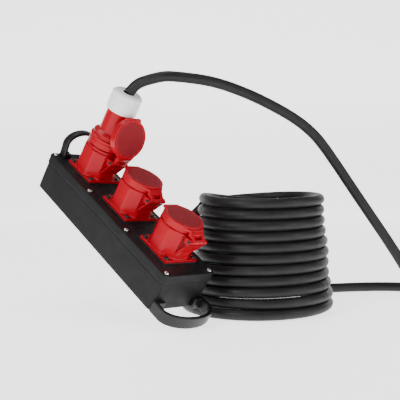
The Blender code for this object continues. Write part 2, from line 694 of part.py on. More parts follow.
def smooth_route(points, count):
    """Evenly spaced points on a Catmull-Rom curve through the route's points."""
    padded = [2 * points[0] - points[1]] + points + [2 * points[-1] - points[-2]]
    fine = []
    for i in range(1, len(padded) - 2):
        p0, p1, p2, p3 = padded[i - 1 : i + 3]
        for step in range(24):
            t = step / 24
            fine.append(0.5 * (2 * p1 + (p2 - p0) * t + (2 * p0 - 5 * p1 + 4 * p2 - p3) * t**2
                               + (3 * p1 - p0 - 3 * p2 + p3) * t**3))
    fine.append(points[-1])
    lengths = [0.0]
    for first, second in zip(fine, fine[1:]):
        lengths.append(lengths[-1] + (second - first).length)
    even = []
    index = 0
    for step in range(count):
        target = lengths[-1] * step / (count - 1)
        while index < len(lengths) - 2 and lengths[index + 1] < target:
            index += 1
        share = (target - lengths[index]) / (lengths[index + 1] - lengths[index])
        even.append(fine[index].lerp(fine[index + 1], share))
    return even


def tube(name, points, count):
    curve = bpy.data.curves.new(name, "CURVE")
    curve.dimensions = "3D"
    curve.bevel_depth = LEAD / 2 * MM
    curve.bevel_resolution = 3
    curve.use_fill_caps = True
    spline = curve.splines.new("POLY")
    route = smooth_route(points, count)
    spline.points.add(len(route) - 1)
    for point, place_mm in zip(spline.points, route):
        point.co = (*(place_mm * MM), 1.0)
    obj = meshed(place(name, curve, CABLE), CABLE)
    smooth(obj)
    return obj


def make_lead(case):
    """The lead: gland to coil, the coil as one ring, and coil to plug."""
    head = LEAD / 2 + COIL_WINDINGS * COIL_PITCH
    rise = head + LEAD / 2
    half = LEAD / 2
    ring = [
        (COIL_HEAD_RADIUS + half, rise), (COIL_FOOT_RADIUS + half, 0.0), (COIL_FOOT_RADIUS - half, 0.0),
        (COIL_HEAD_RADIUS - half, rise),
    ]
    coil = turned("lead_coil", ring, CABLE, steps=48)
    coil.data.transform(Matrix.Translation(Vector((*COIL_CENTRE, 0)) * MM))
    smooth(coil, 60)

    def world(x, y, z):
        return case.matrix_world @ (Vector((x, y, z)) * MM) / MM

    angle = math.radians(COIL_JOIN_ANGLE)
    outward = Vector((math.cos(angle), math.sin(angle), 0))
    join = Vector((*COIL_CENTRE, head - COIL_PITCH)) + outward * (COIL_HEAD_RADIUS + LEAD + 4)
    boot_end = world(GLAND_X, BOOT_END + GAP, GLAND_Z)
    tube("lead_from_gland", [
        boot_end, world(GLAND_X, BOOT_END + 25, GLAND_Z), from_coil(-118, 66, 153), join,
    ], 12)
    nut_top = CASE_HEIGHT + PLUG_NUT_TOP
    tube("lead_to_plug", [
        from_coil(0, COIL_FOOT_RADIUS + LEAD + GAP, LEAD_LOW),
        *(from_coil(*stop) for stop in ROUND_THE_COIL),
        world(SOCKET_X[0], 0, nut_top + 12), world(SOCKET_X[0], 0, nut_top + GAP),
    ], 52)


# ---------------------------------------------------------------- assembly

def lean_case():
    """Parents every piece of the case to a frame that leans on the pull handle, on the floor."""
    frame = bpy.data.objects.new("case_frame", None)
    PARTS.objects.link(frame)
    frame.rotation_euler = (math.radians(ROLL_ANGLE), math.radians(PITCH_ANGLE), 0)
    for obj in list(PARTS.objects) + list(CUTTERS.objects):
        if obj is not frame and obj.parent is None:
            obj.parent = frame
    bpy.context.view_layer.update()
    handle = bpy.data.objects["pull_handle"]
    lowest = min((handle.matrix_world @ vertex.co).z for vertex in handle.data.vertices)
    frame.location = (ORIGIN_SHIFT[0] * MM, ORIGIN_SHIFT[1] * MM, -lowest)
    bpy.context.view_layer.update()
    return frame


make_case()
make_cover()
make_cover_gasket()
make_cover_screws()
make_pull_handle()
make_carry_loop()
make_sockets()
make_plug()
make_gland()
make_terminal_block()
make_lead(lean_case())
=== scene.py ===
import math

import bmesh
import bpy
import numpy as np
from mathutils import Matrix, Vector


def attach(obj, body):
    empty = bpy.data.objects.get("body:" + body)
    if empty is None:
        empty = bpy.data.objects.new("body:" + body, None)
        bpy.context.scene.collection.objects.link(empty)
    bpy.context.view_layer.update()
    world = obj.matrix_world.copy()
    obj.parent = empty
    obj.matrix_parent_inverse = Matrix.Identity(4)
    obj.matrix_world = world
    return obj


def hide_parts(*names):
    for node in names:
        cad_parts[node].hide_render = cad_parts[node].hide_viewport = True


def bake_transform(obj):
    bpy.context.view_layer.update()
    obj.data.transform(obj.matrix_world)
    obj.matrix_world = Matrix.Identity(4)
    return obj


MM = 0.001

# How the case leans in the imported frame, and the places on it, in millimetres.
PITCH_ANGLE, ROLL_ANGLE = 32.0, -3.3
CASE_AT = (-25.52, -32.04, 117.372)
CASE_LENGTH, CASE_HEIGHT = 346.0, 65.0
LIP_HEIGHT, LIP_STEP, GAP = 16.0, 1.0, 0.3
SOCKET_X = (-110.0, 0.0, 110.0)
HINGE_X, HINGE_Z, LID_OPEN_AT_REST = 45.0, 48.0, 73.0
EAR_IN, EAR_OUT, EYE_RADIUS, PIN_RADIUS = 13.5, 17.5, 4.2, 1.5
FLANGE_SCREW, WELL_RADIUS = 28.0, 28.0
LOOP_X, LOOP_LEAN = -162.0, 10.0
GLAND_X, GLAND_Z = -15.0, 27.0
GLAND_OUT = 53.0

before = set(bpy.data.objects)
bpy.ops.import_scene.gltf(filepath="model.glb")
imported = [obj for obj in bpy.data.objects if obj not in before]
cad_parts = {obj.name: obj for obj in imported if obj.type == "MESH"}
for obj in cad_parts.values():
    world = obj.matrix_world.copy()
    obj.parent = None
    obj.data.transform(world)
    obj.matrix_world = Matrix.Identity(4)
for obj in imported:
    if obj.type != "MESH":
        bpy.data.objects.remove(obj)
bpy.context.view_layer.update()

CASE = (
    Matrix.Translation(Vector(CASE_AT) * MM)
    @ Matrix.Rotation(math.radians(PITCH_ANGLE), 4, "Y")
    @ Matrix.Rotation(math.radians(ROLL_ANGLE), 4, "X")
)


def on_case(x, y, z):
    return CASE @ (Vector((x, y, z)) * MM)


# ---------------------------------------------------------------- shapes, in millimetres

def soften(points, radius, steps=4, closed=False):
    """The outline with each corner rounded by a curve that starts and ends radius away."""
    points = [Vector(p) for p in points]
    out = []
    for i, point in enumerate(points):
        if not closed and i in (0, len(points) - 1):
            out.append(point)
            continue
        before, after = points[i - 1], points[(i + 1) % len(points)]
        a = point + (before - point).normalized() * min(radius, 0.45 * (before - point).length)
        b = point + (after - point).normalized() * min(radius, 0.45 * (after - point).length)
        for step in range(steps + 1):
            t = step / steps
            out.append((1 - t) ** 2 * a + 2 * t * (1 - t) * point + t * t * b)
    return out


def add_lathe(bm, profile, sides=96, shape=None, closed=False, at=None, slot=0):
    """Turns a profile of (radius, height) about Z; shape gives the radius at an angle."""
    at = at or Matrix.Identity(4)
    rows = []
    for radius, height in profile:
        if radius < 1e-6:
            rows.append([bm.verts.new(at @ Vector((0, 0, height)))])
            continue
        row = []
        for k in range(sides):
            angle = 2 * math.pi * k / sides
            r = shape(angle, radius, height) if shape else radius
            row.append(bm.verts.new(at @ Vector((r * math.cos(angle), r * math.sin(angle), height))))
        rows.append(row)
    pairs = list(zip(rows, rows[1:])) + ([(rows[-1], rows[0])] if closed else [])
    for a, b in pairs:
        for k in range(sides):
            j = (k + 1) % sides
            corners = (a if len(a) == 1 else [a[k], a[j]]) + (b if len(b) == 1 else [b[j], b[k]])
            if len(corners) > 2:
                bm.faces.new(corners).material_index = slot
    return bm


def add_prism(bm, outline, low, high, edge=0.6, at=None, slot=0, steps=3):
    """An outline in X and Y between two heights, with rounded edges."""
    own = bmesh.new()
    face = own.faces.new([own.verts.new((x, y, low)) for x, y in outline])
    made = bmesh.ops.extrude_face_region(own, geom=[face])
    top = [g for g in made["geom"] if isinstance(g, bmesh.types.BMVert)]
    bmesh.ops.translate(own, verts=top, vec=(0, 0, high - low))
    bmesh.ops.recalc_face_normals(own, faces=own.faces)
    if edge:
        rims = [e for e in own.edges if abs(e.verts[0].co.z - e.verts[1].co.z) < 1e-6]
        bmesh.ops.bevel(own, geom=rims, offset=edge, segments=steps, affect="EDGES",
                        profile=0.5, clamp_overlap=True)
    for f in own.faces:
        f.material_index = slot
    return add_bmesh(bm, own, at)


def add_bmesh(bm, own, at=None):
    if at is not None:
        bmesh.ops.transform(own, matrix=at, verts=own.verts)
    held = bpy.data.meshes.new("held")
    own.to_mesh(held)
    own.free()
    bm.from_mesh(held)
    bpy.data.meshes.remove(held)
    return bm


def box_outline(length, width, corner, x=0.0, y=0.0, steps=6):
    a, b = length / 2, width / 2
    corners = [(x - a, y - b), (x + a, y - b), (x + a, y + b), (x - a, y + b)]
    return soften(corners, corner, steps, closed=True)


def add_sweep(bm, path, section, side, closed_ends=True, slot=0):
    """A section of (across, side) points carried along a path; side is its fixed direction."""
    path = [Vector(p) for p in path]
    side = Vector(side).normalized()
    rows = []
    for i, point in enumerate(path):
        ahead = path[min(i + 1, len(path) - 1)] - path[max(i - 1, 0)]
        across = ahead.normalized().cross(side).normalized()
        rows.append([bm.verts.new(point + across * a + side * b) for a, b in section])
    skin(bm, rows, slot)
    if closed_ends:
        bm.faces.new(rows[0][::-1]).material_index = slot
        bm.faces.new(rows[-1]).material_index = slot
    return bm


def skin(bm, rows, slot=0):
    count = len(rows[0])
    for a, b in zip(rows, rows[1:]):
        for k in range(count):
            j = (k + 1) % count
            bm.faces.new((a[k], a[j], b[j], b[k])).material_index = slot


UPRIGHT = Matrix.Rotation(math.pi / 2, 4, "X")  # stands an outline up in X and Z


def done(name, bm, *finishes, scale=MM, sharp=35.0):
    bmesh.ops.recalc_face_normals(bm, faces=bm.faces)
    if scale != 1:
        bmesh.ops.scale(bm, vec=(scale, scale, scale), verts=bm.verts)
    mesh = bpy.data.meshes.new(name)
    bm.to_mesh(mesh)
    bm.free()
    for finish in finishes:
        mesh.materials.append(finish)
    mesh.shade_smooth()
    mesh.set_sharp_from_angle(angle=math.radians(sharp))
    return mesh


def show(name, mesh, body, nodes, at=None, weighted=True):
    obj = bpy.data.objects.new(name, mesh)
    bpy.context.scene.collection.objects.link(obj)
    obj.matrix_world = CASE @ (at or Matrix.Identity(4))
    if weighted:
        modifier = obj.modifiers.new("shading", "WEIGHTED_NORMAL")
        modifier.keep_sharp = True
        modifier.weight = 90
    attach(obj, body)
    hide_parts(*nodes)
    return obj


def cut(mesh, *cutters):
    """The mesh with closed shapes taken from it."""
    target = bpy.data.objects.new("target", mesh)
    bpy.context.scene.collection.objects.link(target)
    made = []
    for shape in cutters:
        obj = bpy.data.objects.new("cutter", shape)
        bpy.context.scene.collection.objects.link(obj)
        made.append(obj)
        modifier = target.modifiers.new("cut", "BOOLEAN")
        modifier.operation = "DIFFERENCE"
        modifier.solver = "EXACT"
        modifier.object = obj
    bpy.context.view_layer.update()
    graph = bpy.context.evaluated_depsgraph_get()
    result = bpy.data.meshes.new_from_object(target.evaluated_get(graph))
    result.name = mesh.name
    for obj in made + [target]:
        bpy.data.objects.remove(obj)
    return result


def shift(x, y, z):
    return Matrix.Translation((x, y, z))


def shift_mm(x, y, z):
    return Matrix.Translation(Vector((x, y, z)) * MM)


# ---------------------------------------------------------------- materials

def finish(name, colour, roughness, metallic=0.0, mottle=0.12, grain=900.0, bump=0.05, depth=0.0002,
           wear=0.0, wear_colour=(0.3, 0.3, 0.3), coat=0.0, specular=0.5, streak=0.0):
    """A moulded or metal surface: uneven colour and roughness, a fine grain, and worn raised edges."""
    made = bpy.data.materials.new(name)
    made.use_nodes = True
    tree = made.node_tree
    shader = tree.nodes["Principled BSDF"]
    shader.inputs["Metallic"].default_value = metallic
    shader.inputs["Coat Weight"].default_value = coat
    shader.inputs["Coat Roughness"].default_value = 0.12
    shader.inputs["Specular IOR Level"].default_value = specular
    place = tree.nodes.new("ShaderNodeTexCoord")

    def noise(scale, detail, roughness_value=0.55):
        node = tree.nodes.new("ShaderNodeTexNoise")
        node.inputs["Scale"].default_value = scale
        node.inputs["Detail"].default_value = detail
        node.inputs["Roughness"].default_value = roughness_value
        tree.links.new(place.outputs["Object"], node.inputs["Vector"])
        return node.outputs["Fac"]

    def remap(value, low, high, to_low, to_high):
        node = tree.nodes.new("ShaderNodeMapRange")
        for socket, number in zip(("From Min", "From Max", "To Min", "To Max"), (low, high, to_low, to_high)):
            node.inputs[socket].default_value = number
        tree.links.new(value, node.inputs["Value"])
        return node.outputs["Result"]

    def mixed(factor, first, second):
        node = tree.nodes.new("ShaderNodeMix")
        node.data_type = "RGBA"
        tree.links.new(factor, node.inputs["Factor"])
        for socket, value in (("A", first), ("B", second)):
            target = [s for s in node.inputs if s.name == socket and s.type == "RGBA"][0]
            if isinstance(value, tuple):
                target.default_value = (*value, 1.0)
            else:
                tree.links.new(value, target)
        return [s for s in node.outputs if s.type == "RGBA"][0]

    cloud = noise(26.0, 4.0)
    dark = tuple(c * (1 - mottle) for c in colour)
    light = tuple(min(1.0, c * (1 + mottle)) for c in colour)
    base = mixed(remap(cloud, 0.35, 0.65, 0.0, 1.0), dark, light)
    if streak:
        scratches = remap(noise(420.0, 3.0, 0.7), 0.62, 0.72, 0.0, streak)
        base = mixed(scratches, base, wear_colour)
    if wear:
        geometry = tree.nodes.new("ShaderNodeNewGeometry")
        edge = remap(geometry.outputs["Pointiness"], 0.53, 0.60, 0.0, wear)
        product = tree.nodes.new("ShaderNodeMath")
        product.operation = "MULTIPLY"
        tree.links.new(edge, product.inputs[0])
        tree.links.new(remap(noise(160.0, 5.0), 0.42, 0.62, 0.0, 1.0), product.inputs[1])
        base = mixed(product.outputs[0], base, wear_colour)
    tree.links.new(base, shader.inputs["Base Color"])
    fine = noise(grain, 2.0)
    tree.links.new(
        remap(noise(70.0, 5.0), 0.3, 0.7, max(0.03, roughness - 0.07), min(1.0, roughness + 0.08)),
        shader.inputs["Roughness"],
    )
    relief = tree.nodes.new("ShaderNodeBump")
    relief.inputs["Strength"].default_value = bump
    relief.inputs["Distance"].default_value = depth
    tree.links.new(fine, relief.inputs["Height"])
    tree.links.new(relief.outputs["Normal"], shader.inputs["Normal"])
    return made


BLACK = finish("black_case", (0.0085, 0.0085, 0.0092), 0.46, mottle=0.22, grain=1100, bump=0.22, wear=0.35,
               wear_colour=(0.06, 0.06, 0.062), streak=0.12, specular=0.16)
HANDLE = finish("black_handle", (0.007, 0.007, 0.0075), 0.36, mottle=0.2, grain=800, bump=0.12, wear=0.35,
                wear_colour=(0.05, 0.05, 0.052), streak=0.06, specular=0.35)
RED = finish("signal_red", (0.40, 0.0005, 0.010), 0.20, mottle=0.07, grain=1500, bump=0.03, wear=0.25,
             wear_colour=(0.55, 0.02, 0.04), specular=0.18)
RED_MATT = finish("signal_red_matt", (0.24, 0.003, 0.010), 0.42, mottle=0.08, grain=1700, bump=0.12,
                  specular=0.2)
INSERT = finish("insert_red", (0.20, 0.002, 0.008), 0.40, mottle=0.10, grain=1400, bump=0.06, specular=0.3)
NUT = finish("nut_white", (0.90, 0.91, 0.92), 0.30, mottle=0.03, grain=900, bump=0.05, wear=0.25,
             wear_colour=(0.50, 0.50, 0.50))
RUBBER = finish("seal_black", (0.022, 0.022, 0.022), 0.75, mottle=0.2, grain=1300, bump=0.2)
LEAD_RUBBER = finish("lead_black", (0.0085, 0.0085, 0.0088), 0.50, mottle=0.25, grain=620, bump=0.30,
                     depth=0.0004, wear=0.15, wear_colour=(0.05, 0.05, 0.05), streak=0.10, specular=0.3)
ZINC = finish("zinc", (0.62, 0.61, 0.58), 0.30, metallic=1.0, mottle=0.12, grain=1800, bump=0.06)
DARK_STEEL = finish("dark_steel", (0.03, 0.03, 0.032), 0.22, metallic=0.6, mottle=0.15, grain=1600, bump=0.05)
BRASS = finish("brass", (0.70, 0.50, 0.22), 0.28, metallic=1.0, mottle=0.10, grain=1600, bump=0.05)
GREY = finish("terminal_grey", (0.38, 0.38, 0.36), 0.50, mottle=0.10, grain=1200, bump=0.10)


# ---------------------------------------------------------------- camera, light and floor

def camera():
    data = bpy.data.cameras.new("camera")
    data.lens = 76.5
    data.sensor_width = 36.0
    obj = bpy.data.objects.new("camera", data)
    bpy.context.scene.collection.objects.link(obj)
    right = Vector((0.69902, 0.71510, 0.00002)).normalized()
    back = Vector((0.71412, -0.69799, 0.05338)).normalized()
    up = back.cross(right).normalized()
    turn = Matrix((right, up, back)).transposed().to_4x4()
    obj.matrix_world = Matrix.Translation((1.07854, -0.91212, 0.26285)) @ turn
    bpy.context.scene.camera = obj
    return obj


def lamp(name, place, aim, size, power, colour=(1, 1, 1)):
    data = bpy.data.lights.new(name, "AREA")
    data.shape = "RECTANGLE"
    data.size, data.size_y = size
    data.energy = power
    data.color = colour
    obj = bpy.data.objects.new(name, data)
    bpy.context.scene.collection.objects.link(obj)
    place, aim = Vector(place), Vector(aim)
    obj.matrix_world = Matrix.Translation(place) @ (aim - place).to_track_quat("-Z", "Y").to_matrix().to_4x4()
    return obj


def studio():
    world = bpy.data.worlds.new("studio")
    bpy.context.scene.world = world
    world.use_nodes = True
    world.node_tree.nodes["Background"].inputs["Color"].default_value = (1, 1, 1, 1)
    world.node_tree.nodes["Background"].inputs["Strength"].default_value = 0.30
    view = Vector((0.714, -0.698, 0.0))
    right = Vector((0.699, 0.715, 0.0))
    target = Vector((0.06, 0.03, 0.12))
    lamp("key", target + view * 1.3 - right * 1.1 + Vector((0, 0, 0.9)), target, (0.5, 0.5), 20)
    lamp("top", target - view * 0.1 - right * 0.2 + Vector((0, 0, 1.7)), target, (1.0, 0.6), 9)
    lamp("side", target + view * 0.7 + right * 1.5 + Vector((0, 0, 0.6)), target, (0.4, 1.1), 9)
    floor_mesh = bpy.data.meshes.new("floor")
    bm = bmesh.new()
    rows = []
    heights = [(2.6, 0.0), (-2.4, 0.0)] + [
        (-2.4 - 0.6 * math.sin(a), 0.6 - 0.6 * math.cos(a)) for a in np.linspace(0, math.pi / 2, 16)[1:]
    ] + [(-3.0, 1.5)]
    for depth, height in heights:
        rows.append([
            bm.verts.new(target * Vector((1, 1, 0)) + view * depth + right * side
                         + Vector((0, 0, height - 0.0005)))
            for side in (-4.0, 4.0)
        ])
    for a, b in zip(rows, rows[1:]):
        bm.faces.new((a[0], a[1], b[1], b[0]))
    bm.to_mesh(floor_mesh)
    bm.free()
    floor_mesh.shade_smooth()
    paper = finish("pale_floor", (0.88, 0.88, 0.88), 0.6, mottle=0.01, grain=300, bump=0.02)
    glow = paper.node_tree.nodes["Principled BSDF"]
    glow.inputs["Emission Color"].default_value = (1, 1, 1, 1)
    glow.inputs["Emission Strength"].default_value = 1.9
    floor_mesh.materials.append(paper)
    floor = bpy.data.objects.new("floor", floor_mesh)
    bpy.context.scene.collection.objects.link(floor)


# ---------------------------------------------------------------- lead

LEAD = 17.0
COIL_CENTRE = (117.3, 172.4)
COIL_FOOT_RADIUS, COIL_HEAD_RADIUS = 114.5, 96.5
COIL_PITCH = 17.5
COIL_RIGHT, COIL_BACK = (0.699, 0.715), (-0.715, 0.699)
JOIN_ANGLE, FRONT_ANGLE = 190.0, -44.35
COIL_TURNS = 10
FLOOR_GAP, VISIBLE_SWELL = 0.6, 0.24  # under the lead, and added to its radius to close gaps
BOOT_END = GLAND_OUT + 62.0
# The top turns ride up on the left, this many degrees round from the front, less on each turn down.
TOP_LIFT, LIFT_AT, LIFT_SPREAD = 11.0, 100.0, 45
LIFT_SHARES = (1.0, 0.76, 0.56, 0.38, 0.22, 0.1)


def from_coil(right, back, height):
    """Millimetres in the frame, from a place right of the coil's centre and behind it."""
    x = COIL_CENTRE[0] + COIL_RIGHT[0] * right + COIL_BACK[0] * back
    y = COIL_CENTRE[1] + COIL_RIGHT[1] * right + COIL_BACK[1] * back
    return Vector((x, y, height))


def curve_through(points, steps):
    """Points on a Catmull-Rom curve, with this many steps from each given point to the next."""
    padded = [2 * points[0] - points[1]] + points + [2 * points[-1] - points[-2]]
    fine = []
    for i in range(1, len(padded) - 2):
        p0, p1, p2, p3 = padded[i - 1 : i + 3]
        for step in range(steps):
            t = step / steps
            fine.append(0.5 * (2 * p1 + (p2 - p0) * t + (2 * p0 - 5 * p1 + 4 * p2 - p3) * t**2
                               + (3 * p1 - p0 - 3 * p2 + p3) * t**3))
    return fine + [points[-1]]


def evenly(points, count):
    fine = curve_through(points, 24)
    lengths = np.concatenate([[0], np.cumsum([(b - a).length for a, b in zip(fine, fine[1:])])])
    table = np.array([list(p) for p in fine])
    wanted = np.linspace(0, lengths[-1], count)
    return [Vector([np.interp(w, lengths, table[:, axis]) for axis in range(3)]) for w in wanted]


def eased(values, passes=3):
    """The same row of numbers with its corners smoothed, its ends kept."""
    values = np.array(values, float)
    for _ in range(passes):
        values[1:-1] = (values[:-2] + 2 * values[1:-1] + values[2:]) / 4
    return values


def coil_points():
    """Clockwise from where the lead comes in on the left, under the top turn, then down to the floor."""
    to_front = JOIN_ANGLE - FRONT_ANGLE
    last = to_front + 360 * COIL_TURNS + 180
    floor_height = LEAD / 2 + FLOOR_GAP
    front_top = floor_height + COIL_PITCH * COIL_TURNS
    angle_of = np.arange(15.0, last, 15.0)
    heights = np.interp(
        angle_of, [0, 40, 90, 120, 145, to_front, to_front + 360 * COIL_TURNS, last],
        [176, 182, 189, 189, 188.4, front_top, floor_height, floor_height],
    )
    for turn, share in enumerate(LIFT_SHARES):
        past_lift = (angle_of - to_front - LIFT_AT - 360 * turn) / LIFT_SPREAD
        heights += TOP_LIFT * share * np.exp(-(past_lift**2))
    heights = eased(heights)
    slope = (COIL_FOOT_RADIUS - COIL_HEAD_RADIUS) / (191.4 - floor_height)
    radii = COIL_FOOT_RADIUS - slope * (heights - floor_height)
    radii += eased(np.interp(angle_of, [0, 60, 100, 120, 145, 170], [20.5, 19, 10, 5, 1.5, 0]))
    past_front = angle_of - to_front - 360 * COIL_TURNS
    radii += eased(np.interp(past_front, [-20, 0, 30, 60, 120, 180], [0, 1.0, 7.5, 10.5, 14.5, 17.3]))
    uneven = 0.9 * np.sin(0.0131 * angle_of + 1.0) + 0.7 * np.sin(0.0207 * angle_of)
    radii += np.where((angle_of > 600) & (angle_of < last - 260), uneven, 0.0)
    thetas = np.radians(JOIN_ANGLE - angle_of)
    return [
        Vector((COIL_CENTRE[0] + r * math.cos(t), COIL_CENTRE[1] + r * math.sin(t), z))
        for r, t, z in zip(radii, thetas, heights)
    ]


def lead_route():
    """The whole lead, from the strain relief through the coil to the plug, in millimetres."""
    low = LEAD / 2 + FLOOR_GAP
    angle = math.radians(JOIN_ANGLE)
    outward = Vector((math.cos(angle), math.sin(angle), 0))
    join = Vector((*COIL_CENTRE, 173.9)) + outward * (COIL_HEAD_RADIUS + LEAD + 4)
    start = [
        on_case(GLAND_X, BOOT_END + GAP, GLAND_Z) / MM, on_case(GLAND_X, BOOT_END + 25, GLAND_Z) / MM,
        from_coil(-118, 66, 153), join,
    ]
    places = [
        (0, COIL_FOOT_RADIUS + LEAD + GAP, low), (80, 145, low), (150, 163, low), (210, 176, low),
        (265, 178, low),
        (312, 165, low), (346, 138, low), (360, 102, low), (350, 66, low), (322, 40, 12), (292, 28, 24),
        (266, 23, 47), (241, 21, 84), (220, 20, 116), (188, 17, 162), (156, 14, 208),
        (125, 11, 253), (94, 6, 293),
        (60, -1, 321), (17, -12, 345), (-28, -24, 365), (-74, -37, 380), (-108, -46, 386), (-138, -52, 389),
        (-169, -56, 389), (-198, -51, 380),
    ]
    end = [from_coil(*place) for place in places]
    end += [on_case(SOCKET_X[0], 0, 234) / MM, on_case(SOCKET_X[0], 0, 222.3) / MM]
    return evenly(start, 12) + coil_points() + evenly(end, 52)


def add_tube(bm, centre, radius, sides):
    """A round tube along closely spaced points."""
    rows = []
    side = Vector((0, 0, 1)).cross(centre[1] - centre[0]).normalized()
    for i, point in enumerate(centre):
        ahead = (centre[min(i + 1, len(centre) - 1)] - centre[max(i - 1, 0)]).normalized()
        side = (side - ahead * side.dot(ahead)).normalized()
        other = ahead.cross(side)
        rows.append([
            bm.verts.new(point + (side * math.cos(a) + other * math.sin(a)) * radius)
            for a in np.linspace(0, 2 * math.pi, sides, endpoint=False)
        ])
    skin(bm, rows)
    bm.faces.new(rows[0][::-1])
    bm.faces.new(rows[-1])
    return bm


def make_lead(plug_pieces):
    route = lead_route()
    tube = add_tube(bmesh.new(), curve_through(route, 5), LEAD / 2 + VISIBLE_SWELL, 32)
    mesh = done("lead", tube, LEAD_RUBBER, sharp=60)
    lead = bpy.data.objects.new("lead", mesh)
    bpy.context.scene.collection.objects.link(lead)
    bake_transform(lead)
    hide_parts("lead_from_gland", "lead_coil", "lead_to_plug")


# ---------------------------------------------------------------- case and handles

def add_mesh(bm, mesh, at=None):
    own = bmesh.new()
    own.from_mesh(mesh)
    return add_bmesh(bm, own, at)


def prism_mesh(name, outline, low, high, edge=0.0):
    return done(name, add_prism(bmesh.new(), outline, low, high, edge), BLACK)


def rod_mesh(radius, low, high, x=0.0, y=0.0, sides=64):
    profile = [(0, low), (radius, low), (radius, high), (0, high)]
    return done("rod", add_lathe(bmesh.new(), profile, sides, at=shift(x, y, 0)), BLACK)


def make_case():
    lip_low = CASE_HEIGHT - LIP_HEIGHT
    base = prism_mesh("base", box_outline(344, 106, 9.0), 0, lip_low - GAP, 1.4)
    spigot = prism_mesh("spigot", box_outline(339, 101, 4.0), 43, 59.2, 0.4)
    hollow = prism_mesh("hollow", box_outline(332, 94, 6.0), 4, 70)
    bm = bmesh.new()
    for shell in (cut(base, hollow), cut(spigot, hollow)):
        add_mesh(bm, shell)
    show("case_base", done("case_base", bm, BLACK, scale=1), "case", ["housing_base"])
    cover = prism_mesh("cover", box_outline(346, 108, 9.0), lip_low, CASE_HEIGHT, 1.5)
    cutters = [prism_mesh("under", box_outline(339.6, 101.6, 4.0), lip_low - 5, CASE_HEIGHT - 4)]
    cutters += [rod_mesh(29.5, 50, 80, x) for x in SOCKET_X]
    show("case_cover", cut(cover, *cutters), "case", ["top_cover"])


def bow_path(half, reach, band):
    """The middle line of a handle's band, out from x = 0 and back."""
    side, tip = half - band / 2, reach - band / 2
    shoulder = tip * 0.45
    arc = [
        Vector((shoulder + (tip - shoulder) * math.cos(a), side * math.sin(a), 0))
        for a in np.linspace(math.pi / 2, -math.pi / 2, 49)
    ]
    straight = [Vector((x, side, 0)) for x in np.linspace(0, shoulder, 7)[:-1]]
    return straight + arc + [Vector((p.x, -side, 0)) for p in reversed(straight)]


def add_bow(bm, half, reach, breadth, at):
    own = bmesh.new()
    add_sweep(own, bow_path(half, reach, 6.5), box_outline(6.5, breadth, 2.6), (0, 0, 1))
    return add_bmesh(bm, own, at)


def make_handles():
    face = CASE_LENGTH / 2 - LIP_STEP + GAP
    bm = bmesh.new()
    add_bow(bm, 53.0, 49.0, 20.0, shift(face, 0, 10))
    for side in (-1, 1):
        add_prism(bm, box_outline(7, 20, 2.0, face + 3.7, 42 * side), 0.5, 19.5, 1.2)
    show("end_handle", done("end_handle", bm, HANDLE), "case", ["pull_handle"])
    foot = CASE_HEIGHT + GAP
    lean = Matrix.Rotation(-math.radians(LOOP_LEAN), 4, "Y") @ Matrix.Rotation(-math.pi / 2, 4, "Y")
    bm = bmesh.new()
    add_bow(bm, 37.0, 45.0, 15.0, shift(LOOP_X, 0, foot + 3) @ lean)
    for side in (-1, 1):
        add_prism(bm, box_outline(16, 16.5, 3.0, LOOP_X, 29 * side), foot, foot + 7.5, 1.6)
    show("top_handle", done("top_handle", bm, HANDLE), "case", ["carry_loop"])


# ---------------------------------------------------------------- screws, pins and springs

def screw_mesh(name, head, height, shank, length, metal, shade_ring_radius=0.0):
    """A pan-head screw with a cross recess, its head's underside at the origin; a black ring round the head,
    if given, is painted shade of the recess it sits in.
    """
    profile = soften([
        (0, height), (head * 0.55, height), (head * 0.92, height * 0.55), (head, 0), (shank, 0),
        (shank, -length),
        (0, -length - shank),
    ], 0.5, 3)
    body = done(name, add_lathe(bmesh.new(), profile, 32), metal)
    cross = [done("slot", add_prism(bmesh.new(), box_outline(*size, 0.2), height - 1.3, height + 1, 0), metal)
             for size in ((head, 0.9), (0.9, head))]
    mesh = cut(body, *cross)
    if shade_ring_radius:
        # A thin flat black ring round the head: painted shade of the recess the screw sits in.
        bm = add_mesh(bmesh.new(), mesh)
        ring = [
            (shade_ring_radius * MM, -0.00025), (shade_ring_radius * MM, 0.0004), (head * 0.9 * MM, 0.0007), (shank * MM, -0.00025),
        ]
        add_lathe(bm, ring, 32, closed=True, slot=1)
        mesh = done(name, bm, metal, RUBBER, scale=1)
    mesh.shade_smooth()
    mesh.set_sharp_from_angle(angle=math.radians(35))
    return mesh


def make_screws():
    cover = screw_mesh("cover_screw", 4.2, 2.6, 1.9, 15.0, ZINC)
    places = [(x, side * 46.0) for side in (-1, 1) for x in (-165.0, -55.0, 55.0, 165.0)]
    for index, (x, y) in enumerate(places, start=1):
        at = shift_mm(x, y, CASE_HEIGHT + GAP) @ Matrix.Rotation(0.7 * index, 4, "Z")
        show(f"lid_screw_{index}", cover, "case", [f"cover_screw_{index}"], at, weighted=False)
    # The black ring round each flange screw's head is painted shade of its recess.
    flange = screw_mesh("flange_screw", 3.6, 2.4, 1.6, 9.0, DARK_STEEL, shade_ring_radius=4.6)
    for number, x in enumerate(SOCKET_X, start=1):
        corners = [(sx * FLANGE_SCREW, sy * FLANGE_SCREW) for sx in (-1, 1) for sy in (-1, 1)]
        for index, (dx, dy) in enumerate(corners, start=1):
            at = shift_mm(x + dx, dy, CASE_HEIGHT + 6.3) @ Matrix.Rotation(1.1 * index + number, 4, "Z")
            show(f"socket_screw_{number}_{index}", flange, "case",
                 [f"flange_screw_{number}_{index}"], at, weighted=False)


def pin_mesh():
    profile = soften([
        (0, -19.7), (2.6, -19.7), (2.6, -17.8), (PIN_RADIUS, -17.8), (PIN_RADIUS, 18.0), (0, 18.0),
    ], 0.5, 3)
    lying = Matrix.Rotation(-math.pi / 2, 4, "X")
    return done("hinge_pin", add_lathe(bmesh.new(), profile, 32, at=lying), DARK_STEEL)


